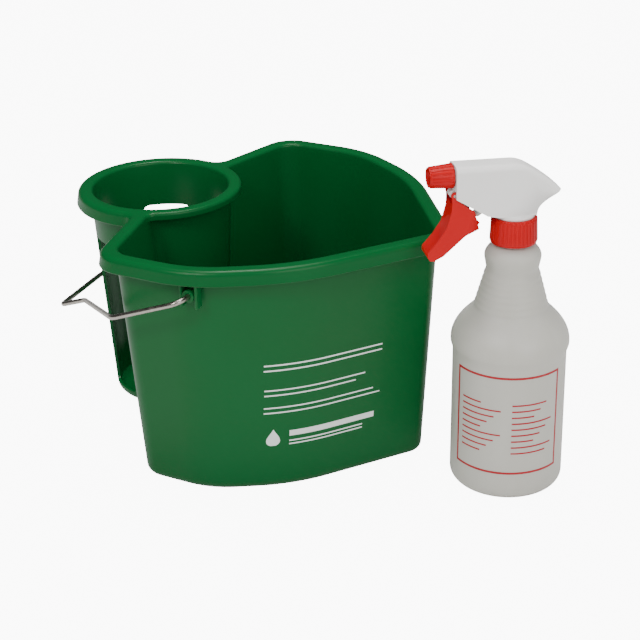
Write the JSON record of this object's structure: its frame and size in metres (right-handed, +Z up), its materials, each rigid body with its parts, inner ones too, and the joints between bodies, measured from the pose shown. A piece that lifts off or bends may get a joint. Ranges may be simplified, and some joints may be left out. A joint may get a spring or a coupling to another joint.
{
  "type": "divided cleaning pail with spray bottle",
  "caption": "Divided cleaning pail with a round bottle cup, pouring spout and wire bail, with its trigger spray bottle standing at the spout.",
  "frame": {"origin": "on the ground under the basin of the pail, on the pail's mirror line", "axes": "+X along the mirror line to the pouring spout and the spray bottle, +Y across to the rear bail ear, +Z up"},
  "size_m": [0.4302, 0.3258, 0.2679],
  "materials": {
    "pail_green": "moulded satin-gloss polypropylene",
    "bail_steel": "bright zinc-plated drawn wire",
    "bottle_natural": "translucent blow-moulded polyethylene",
    "sprayer_red": "moulded red polypropylene",
    "sprayer_white": "moulded white polypropylene",
    "inner_natural": "natural polyethylene",
    "seal": "elastomer seal",
    "stainless": "stainless steel"
  },
  "bodies": {
    "pail": {"pail_shell": "pail_green"},
    "bail": {"bail_wire": "bail_steel"},
    "bottle": {"spray_bottle": "bottle_natural"},
    "head": {"pump_body": "sprayer_white", "sprayer_shroud": "sprayer_white", "neck_gasket": "seal", "tube_holder": "inner_natural", "dip_tube": "inner_natural", "trigger_pin": "stainless", "nozzle_seal": "seal", "swirl_core": "inner_natural", "return_spring": "stainless"},
    "collar": {"screw_collar": "sprayer_red"},
    "nozzle": {"nozzle_cap": "sprayer_red"},
    "trigger_lever": {"trigger": "sprayer_red"},
    "plunger": {"piston": "inner_natural", "piston_ring": "seal"},
    "inlet_valve": {"inlet_ball": "stainless"},
    "outlet_valve": {"outlet_ball": "stainless"}
  },
  "joints": [
    {"name": "bail_swing", "type": "hinge", "parent": "pail", "child": "bail", "pos_m": [0.016, 0, 0.1785], "axis": [0, 1, 0], "range_deg": [-3.2, 160]},
    {"name": "bottle_lift", "type": "slide", "parent": "pail", "child": "bottle", "axis": [0, 0, 1], "range_m": [0, 0.3]},
    {"name": "head_lift", "type": "slide", "parent": "bottle", "child": "head", "axis": [0, 0, 1], "range_m": [0, 0.22]},
    {"name": "collar_turn", "type": "hinge", "parent": "head", "child": "collar", "pos_m": [0.214, 0, 0.21], "axis": [0, 0, 1], "range_deg": [0, 450]},
    {"name": "nozzle_turn", "type": "hinge", "parent": "head", "child": "nozzle", "pos_m": [0.1688, -0.03634, 0.2585], "axis": [-0.7793, -0.6266, 0], "range_deg": [0, 270]},
    {"name": "trigger_pull", "type": "hinge", "parent": "head", "child": "trigger_lever", "pos_m": [0.1762, -0.03039, 0.2452], "axis": [0.6266, -0.7793, 0], "range_deg": [0, 18], "stiffness_Nm_per_rad": 1.2, "springref_deg": -14.32},
    {"name": "piston_slide", "type": "slide", "parent": "head", "child": "plunger", "axis": [0.6057, 0.487, 0.6293], "range_m": [0, 0.0087], "deforming": ["return_spring"]},
    {"name": "inlet_ball_lift", "type": "slide", "parent": "head", "child": "inlet_valve", "axis": [0, 0, 1], "range_m": [0, 0.0015]},
    {"name": "outlet_ball_lift", "type": "slide", "parent": "head", "child": "outlet_valve", "axis": [0, 0, 1], "range_m": [0, 0.0015]}
  ],
  "couplings": [
    {"joint": "piston_slide", "follows": "trigger_pull", "m_per_rad": 0.0272}
  ]
}
